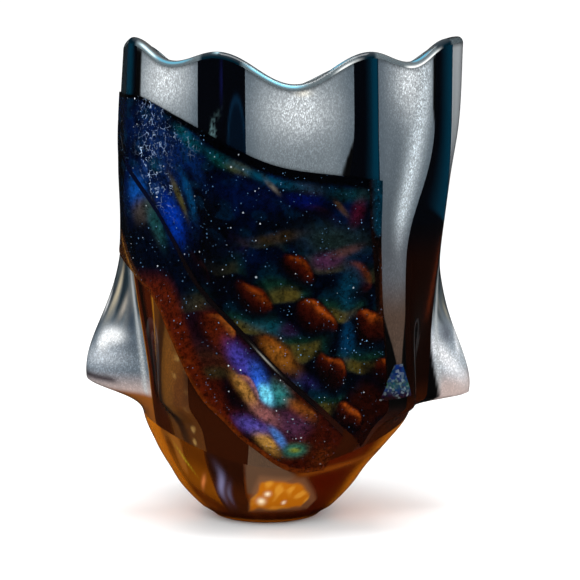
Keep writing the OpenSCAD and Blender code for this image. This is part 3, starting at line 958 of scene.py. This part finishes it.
# Patches of film colour: azimuth, height, half length, half width, tilt, colour, strength
UPPER_PATCHES = [
    (-57, 158, 7, 5, 80, (10, 72, 152), 0.95),
    (-55, 149, 6, 5, 60, (66, 60, 56), 0.9),
    (-50, 143, 10, 3, -65, (30, 78, 80), 0.8),
    (-43, 146, 12, 5, -62, (1, 46, 150), 1.0),
    (-40, 157, 11, 1.8, -66, (78, 72, 34), 0.9),
    (-34, 156, 11, 2.6, -70, (2, 64, 108), 0.9),
    (-30, 168, 12, 3, -60, (2, 34, 82), 0.8),
    (-33, 181, 8, 3, -38, (6, 84, 90), 0.7),
    (-48, 170, 4, 3.4, 0, (10, 66, 52), 0.9),
    (-21, 172, 7, 2.4, -30, (12, 84, 76), 0.7),
    (-15, 168.5, 5, 2.2, -24, (110, 112, 56), 0.7),
    (-5, 161, 4.5, 1.0, -48, (170, 160, 140), 0.7),
    (-12, 157, 16, 6, -20, (1, 18, 62), 0.9),
    (6, 154.5, 8, 3.4, -5, (2, 20, 100), 0.8),
    (7, 159.5, 7, 2.2, -10, (52, 46, 66), 0.8),
    (23, 150, 7, 2.6, 80, (96, 18, 38), 0.55),
    (18, 151, 4.5, 1.0, -50, (120, 84, 50), 0.6),
    (21, 157, 9, 3, 0, (14, 58, 62), 0.7),
    (-1, 138.5, 11, 2.4, 8, (66, 48, 22), 0.7),
    (16, 137, 15, 7, -5, (36, 54, 50), 0.8),
    (14.7, 128, 6.5, 3.6, 10, (104, 52, 98), 0.8),
    (20, 132, 7, 2, 20, (110, 70, 66), 0.7),
    (23, 117, 10, 4.5, 88, (8, 86, 118), 0.85),
    (25, 94, 10, 4, 85, (4, 72, 116), 0.85),
    (-5, 100, 10, 3.6, -15, (14, 88, 104), 0.85),
    (3, 98, 5, 3, 0, (58, 16, 66), 0.7),
    (8, 76, 12, 3, -20, (38, 34, 92), 0.7),
    (-46, 176, 15, 10, -60, (6, 30, 78), 0.8),
]
# Film colours low on the lower sheet; most of them form a highlight streak, cyan to violet to
# blue-green, painted down its front
LOWER_PATCHES_AND_HIGHLIGHT = [
    (-14, 84, 9, 4.4, -52, (66, 64, 168), 0.8),
    (-6.5, 75, 9, 4.0, -62, (40, 96, 214), 0.9),
    (0, 70, 6, 4.5, -40, (40, 150, 150), 0.55),
    (-4, 69, 4.8, 2.8, -60, (120, 226, 255), 1.2),
    (-4, 60, 9, 3.8, -30, (160, 100, 100), 0.65),
    (6, 55, 9, 6, -30, (96, 52, 84), 0.6),
    (-9, 54, 9, 3.6, -15, (78, 72, 164), 0.8),
    (1.5, 48.5, 7, 2.2, -48, (74, 128, 206), 0.9),
    (9.5, 42, 7, 3.4, -5, (40, 112, 92), 0.95),
    (9.5, 42, 3.4, 1.4, -5, (120, 130, 40), 0.9),
    (-23, 78, 7, 3, 0, (40, 44, 24), 0.6),
    (24, 37, 9, 5.5, -15, (84, 34, 6), 0.7),
]
# Scales that glow golden to their middle
GOLDEN_SCALES = [
    (0, 87, 10, 4.2, -42, (134, 80, 24), 0.9),
    (-21.5, 95, 12, 5.0, -58, (84, 26, 6), 0.85),
    (-12, 70, 9.5, 3.0, -48, (176, 124, 56), 0.95),
    (-3, 46.5, 9, 3.2, -38, (188, 138, 62), 0.95),
    (8.5, 62, 8, 3.0, -38, (120, 62, 18), 0.85),
]
# A nearly black place left of the first scales
BLACK_PATCH = (-25, 127, 20, 11, -62, (2, 2, 8), 0.8)
# Frosted places, in the same way but with no colour
FROST = [(-48.5, 186, 17, 8, -78, 1.0), (-49.5, 163, 15, 5, -66, 0.8), (-35, 180, 9, 5, -35, 0.4),
         (-53, 168, 12, 1.2, -72, 2.0), (-43, 160, 10, 1.0, -78, 1.5)]


def patch_mask(s, z, az, height, long, short, tilt):
    """Soft elliptical mask round a place on the overlay."""
    ds, dz = s - math.radians(az) * SURFACE_R, z - height
    turn = math.radians(tilt)
    along = (ds * math.cos(turn) + dz * math.sin(turn)) / long
    over = (-ds * math.sin(turn) + dz * math.cos(turn)) / short
    return np.exp(-((along ** 2 + over ** 2) ** 1.5))


def lay_patches(base, patches, s, z, share=1.0):
    for *place, colour, strength in patches:
        base.lay(colour, strength * patch_mask(s, z, *place) * share)


def scale_field(s, z):
    """For each place: how far out it is in its scale, how far over the long axis, the luck
    of the scale, and how far it is beside and above the nearest gap."""
    best, gap = np.full((2,) + s.shape, np.inf)
    over, luck, beside, rise = np.zeros((4,) + s.shape)
    rng = np.random.default_rng(5)
    turn = math.radians(SCALE_TILT)
    for height, first in SCALE_ROWS:
        for column in range(-4, 4):
            jog = rng.uniform(-1.2, 1.2, 2)
            chance = rng.uniform(0, 1)
            centre = first + SCALE_PITCH * column
            ds = s - centre - jog[0]
            slope = ROW_SLOPE if centre > 0 else 2 * ROW_SLOPE
            dz = z - height - slope * centre - jog[1]
            a = (ds * math.cos(turn) + dz * math.sin(turn)) / SCALE_LONG
            b = (-ds * math.sin(turn) + dz * math.cos(turn)) / SCALE_SHORT
            rho = np.sqrt(a * a + b * b)
            nearer = rho < best
            best = np.where(nearer, rho, best)
            over = np.where(nearer, b, over)
            luck = np.where(nearer, chance, luck)
            aside = np.abs(ds - SCALE_PITCH * 0.5) / 11.0
            above = (dz - 1.0) / np.where(dz > 1.0, 9.5, 4.5)
            distance = np.hypot(aside, above)
            closer = distance < gap
            gap = np.where(closer, distance, gap)
            beside = np.where(closer, aside, beside)
            rise = np.where(closer, dz - 1.0, rise)
    return best, over, luck, beside, rise


def lay_gap_film(base, film, beside, rise, luck):
    """Over each gap between scales the film runs from yellow to teal."""
    film = film * ease(-3.4, -1.6, rise) * fade(0.75, 1.3, beside)
    base.lay((4, 44, 62), film * fade(9, 15, rise) * 0.9)
    base.lay((22, 56, 38), film * fade(4.5, 9, rise) * 0.9)
    yellow = film * fade(1.5, 4.5, rise) * fade(0.5, 0.95, beside)
    base.lay((104, 88, 32), yellow * (0.5 + 0.5 * luck))


def lay_scales(base, rho, over, luck, crest, shown, warm):
    """Scales, orange at the upper right, then red, then black."""
    crown = ease(-0.3, 0.4, over)
    shade = fade(0.9, 1.7, rho) * (1 - crown)
    base.lay((2, 3, 10), 0.9 * shade * shown)
    body = fade(mix(0.5, 0.85, crown), 1.03, rho)
    base.lay((12, 3, 4), body * shown)
    arc = body * ease(-0.5, 0.8, over)
    base.lay((66, 16, 3), arc * shown)
    base.lay((172, 78, 20), crest * shown * (0.15 + 0.7 * luck))
    base.lay((214, 156, 70), crest * shown * warm * 0.8 * luck)
    base.lay((1, 2, 6), 0.75 * bump(rho, 1.02, 0.07) * shown * (over > 0))


def lay_low_edges(base, az, z, low):
    """Dark red glass at the lower left edge, and the brown left corner."""
    edge = z - curve(SHEET_LOW, az)
    wide = mix(3.0, 22.0, ease(12, 36, -az))
    red = low * fade(0.6 * wide, 1.1 * wide, edge) * fade(114, 124, z)
    base.lay((78, 22, 4), 0.85 * red)
    base.lay((104, 46, 8), 0.6 * red * fade(0.5, 4, edge))
    slant = -73.8 + 0.75 * (139.7 - z) - az
    corner = low * ease(-1.5, 1.5, slant) * fade(-60, -54, az) * fade(134, 140, z)
    base.lay((70, 38, 14), 0.85 * corner)
    base.lay((150, 100, 40), 0.6 * corner * bump(slant, 4.5, 1.2))


def lay_top_and_right(base, az, z):
    """Black rim painted as the shadow of the sheet's edge, a painted teal glow under it, and the
    rib's flank with its painted teal glow.
    """
    drop = curve(SHEET_TOP, az) - z
    rim = mix(1.6, 4.2, ease(-45, -20, az))
    # Painted teal glow under the rim, then the black rim as painted shadow
    base.lay((2, 64, 88), 0.8 * bump(drop - rim, 2.8, 1.6) * bump(az, -6, 16))
    base.lay((1, 2, 5), fade(rim - 0.8, rim + 1.0, drop))
    right_edge = mix(UPPER_RIGHT[0], UPPER_RIGHT[1], (z - 40) / 122)
    inwards = np.radians(right_edge - az) * SURFACE_R
    flank = ease(88, 112, z) * fade(-0.4, 0.4, inwards - mix(3.0, 7.0, ease(100, 150, z)))
    base.lay((14, 5, 4), flank)
    base.lay((52, 22, 8), 0.8 * flank * fade(0.3, 2.0, inwards) * fade(126, 136, z))
    end = 137 + 0.3 * (inwards - 2.0) ** 2
    # Teal painted on the rib's flank as light shining through
    base.lay(TEAL_GLOW, flank * fade(3.0, 7.0, inwards) * ease(end, end + 3, z), gain=1.3)


def dichroic_tint(az, z):
    """Colour of the dichroic coat, where it is frosted and glitters, and its scales, with a
    painted highlight streak, shadow and glow.
    """
    s = np.radians(az) * SURFACE_R
    bend_s = s + 1.3 * wobble(s, z, 18, 7)
    bend_z = z + 1.3 * wobble(s, z, 15, 8)
    rho, over, luck, beside, rise = scale_field(bend_s, bend_z)
    up = ease(112, 142, z + 0.25 * s)
    left = fade(-52, -8, s + 0.5 * (110 - z))
    low = fade(-4, 4, z - curve(SHEET_SEAM, az))
    warm = low * fade(70, 118, z)
    base = Coat(z.shape, (2, 7, 21))
    base.lay((1, 24, 70), 0.95 * up * ease(-0.5, 0.9, wobble(s, z, 26, 1)))
    base.lay((1, 2, 8), 0.8 * up * ease(0.2, 0.9, wobble(s, z, 20, 3)))
    base.lay((3, 38, 66), 0.6 * up * ease(0.2, 0.9, wobble(s, z, 8, 12)))
    above_line = z - 50 - 0.9 * (s - 20)
    film = (1 - up) * (1 - left) * (1 - warm) * ease(-4, 4, above_line)
    lay_gap_film(base, film, beside, rise, luck)
    # Without film the glass is dark red
    bare = (1 - up) * fade(-6, 6, above_line)
    base.lay((46, 12, 3), 0.9 * bare)
    base.lay((56, 13, 3), 0.95 * warm)
    lay_patches(base, UPPER_PATCHES, s, z, 1 - low * warm)
    # Right of the frost the film is duller
    base.lay((0, 0, 0), 0.45 * ease(-36, -24, az) * (1 - warm))
    lay_patches(base, [BLACK_PATCH], s, z)
    # The scales fade out at the top, the left and the lower right
    shown = (1 - 0.97 * ease(128, 140, z + 0.1 * s)) * (1 - 0.9 * left * (1 - warm))
    shown = shown * (1 - ease(116, 122, z) * fade(-6, -2, s) * 0.85)
    shown = shown * (1 - 0.75 * ease(14, 20, s) * ease(112, 118, z))
    shown = shown * (1 - low * ease(6, 12, s) * fade(50, 56, z))
    crest = bump(over, 0.64, 0.2) * fade(0.74, 0.95, rho)
    lay_scales(base, rho, over, luck, crest, shown, warm)
    lay_patches(base, GOLDEN_SCALES, s, z)
    # Film colours and the painted highlight streak of the lower sheet
    lay_patches(base, LOWER_PATCHES_AND_HIGHLIGHT, s, z, (1 - 0.45 * crest) * low)
    lay_low_edges(base, az, z, low)
    lay_top_and_right(base, az, z)
    frost = sum(place[5] * patch_mask(s, z, *place[:5]) for place in FROST)
    base.lay((20, 48, 100), 0.5 * frost * ease(-0.4, 0.8, wobble(s, z, 7, 13)))
    glitter = 0.35 + 0.65 * ease(-0.3, 0.8, wobble(s, z, 24, 6)) * (1 - 0.6 * warm)
    return base, frost, glitter * (1 - 0.6 * bare), rho


def dichroic_sheet(name, node, material, az, z):
    tint, frost, glitter, rho = dichroic_tint(az, z)
    obj = overlay_piece(name, az, z, SCALE_DENT * bump(rho, 0, 0.8))
    store(obj, "frost", frost)
    store(obj, "glitter", glitter)
    finish_piece(obj, tint.colours, material, "dichroic_coat", node)


def seam_thread(material):
    """The thread: dark, with a silvery core and a warm end."""
    half_width = (SEAM_GAP - 0.4) / 2
    shifts = (-half_width, -half_width)
    az, z = overlay_grid(SHEET_SEAM, SHEET_SEAM, shifts, -66, (28, 28), 201, 9)
    obj = overlay_piece("seam_thread", az, z)
    share = np.linspace(0, 1, len(az))[:, None]
    tint = Coat(az.shape, (9, 5, 6))
    tint.lay((3, 6, 26), fade(-50, -36, az))
    tint.lay((150, 150, 142), 0.7 * bump(share, 0.45, 0.16) * bump(az, -4.5, 3.2))
    tint.lay((30, 9, 4), ease(11, 18, az))
    finish_piece(obj, tint.colours, material, "stringer_glass", "seam_stringer")


def chip(material):
    """The glittering chip, with a red lower edge."""
    left, bottom = CHIP_LOW
    right, top = CHIP_HIGH
    low = [(left, bottom), (right, bottom + 3)]
    high = [(left, top - 2), (right, top)]
    rows = 61
    slanted = mix(left + 2, right - 5, np.linspace(0, 1, rows)[:, None])
    az, z = overlay_grid(low, high, (0, 0), slanted, (right, right - 3), 41, rows)
    obj = overlay_piece("dichroic_flakes", az, z)
    tint = Coat(z.shape, (34, 74, 150))
    tint.lay((74, 130, 120), 0.7 * bump(z, 71, 3))
    tint.lay((58, 26, 34), fade(65, 70, z))
    finish_piece(obj, tint.colours, material, "dichroic_flake", "dichroic_chip")


def overlay(coat, flakes, thread):
    """The two sheets, the thread along their seam and the chip."""
    half_gap = SEAM_GAP / 2
    az, z = overlay_grid(SHEET_SEAM, SHEET_TOP, (half_gap, 0), -85, UPPER_RIGHT, 281, 141)
    dichroic_sheet("dichroic_upper_sheet", "dichroic_upper", coat, az, z)
    az, z = overlay_grid(SHEET_LOW, SHEET_SEAM, (0, half_gap), -86, (29, 29), 281, 131)
    dichroic_sheet("dichroic_lower_sheet", "dichroic_lower", coat, az, z)
    seam_thread(thread)
    chip(flakes)


silver = silver_look()
rib_glass = tinted_look("rib_glass", Roughness=0.05, IOR=1.45).material
for lobe_number in range(LOBES):
    panel(lobe_number, silver)
for rib_number in range(LOBES):
    rib(rib_number, "teal", "teal_glass", rib_glass, joint_edge, top_edge)
    rib(rib_number, "amber", "rib_glass", rib_glass, shelf_edge, joint_edge)
amber_body(amber_look())
lip_bead(tinted_look("lip_glass", clear=True, Roughness=0.0, IOR=1.5).material)
overlay(dichroic_look(), chip_look(), tinted_look("stringer", Roughness=0.15, IOR=1.5).material)

# ---- stage ----

# The floor, and the floor as it is mirrored in the glass
FLOOR_WHITE = (0.97, 0.97, 0.97, 1)
FLOOR_MIRRORED = (0.014, 0.014, 0.014, 1)
# Brightness of the world, and in mirrors its brightness below and above two heights
WORLD_LIGHT = 1.1
MIRRORED_HEIGHTS = (0.35, 0.95)
MIRRORED_LIGHT = (0.01, 0.7)
# The softboxes, each with what softbox() takes
SOFTBOXES = [
    ("key", -12, 42, 1.5, 0.7, 0.5, 4, False),
    ("left", -82, 24, 1.3, 0.5, 0.9, 3, False),
    ("right", 82, 24, 1.3, 0.5, 0.9, 3, False),
    ("top", 0, 80, 1.2, 0.9, 0.6, 9, True),
]
LIT_PLACE = np.array([0, 0, 0.12])


def floor():
    bpy.ops.mesh.primitive_circle_add(vertices=128, radius=12, fill_type="NGON")
    disc = bpy.context.object
    disc.name = "floor"
    look = Look("floor", Roughness=0.9, Specular_IOR_Level=0.0)
    look.set("Base Color", look.blend(FLOOR_WHITE, FLOOR_MIRRORED, look.mirrored()))
    disc.data.materials.append(look.material)


def softbox(name, azimuth, elevation, distance, width, height, power, mirrored):
    """A rectangular light that faces the vase."""
    a, e = math.radians(azimuth), math.radians(elevation)
    back = np.array([math.sin(a) * math.cos(e), -math.cos(a) * math.cos(e), math.sin(e)])
    data = bpy.data.lights.new(name, "AREA")
    data.shape = "RECTANGLE"
    data.size = width
    data.size_y = height
    data.energy = power
    lamp = new_object(name, data)
    lamp.location = LIT_PLACE + back * distance
    lamp.rotation_mode = "QUATERNION"
    lamp.rotation_quaternion = Vector(-back).to_track_quat("-Z", "Y")
    lamp.visible_camera = False
    lamp.visible_glossy = mirrored


def surroundings():
    """White surroundings. Mirrored in the glass they are dark below and pale overhead."""
    world = bpy.data.worlds.new("studio")
    bpy.context.scene.world = world
    world.use_nodes = True
    world.cycles.sampling_method = "NONE"
    nodes = Nodes(world.node_tree)
    parts = nodes.node("ShaderNodeSeparateXYZ", Vector=nodes.place("Generated"))
    overhead = nodes.ramp(parts.outputs["Z"], *MIRRORED_HEIGHTS, *MIRRORED_LIGHT)
    light = nodes.node("ShaderNodeMix", Factor=nodes.mirrored(), A=WORLD_LIGHT, B=overhead)
    sky = nodes.tree.nodes["Background"]
    nodes.plug(sky, "Color", (1, 1, 1, 1))
    nodes.plug(sky, "Strength", light.outputs[0])


def camera():
    data = bpy.data.cameras.new("camera")
    data.sensor_width = 36
    data.lens = 104.59
    data.clip_end = 100
    cam = new_object("camera", data)
    cam.location = (0.00575, -0.806, 0.187)
    cam.rotation_euler = (math.radians(84.41), 0, 0)
    bpy.context.scene.camera = cam


floor()
surroundings()
for light in SOFTBOXES:
    softbox(*light)
camera()
scene = bpy.context.scene
scene.view_settings.view_transform = "Standard"
scene.cycles.max_bounces = 16
scene.cycles.transmission_bounces = 14
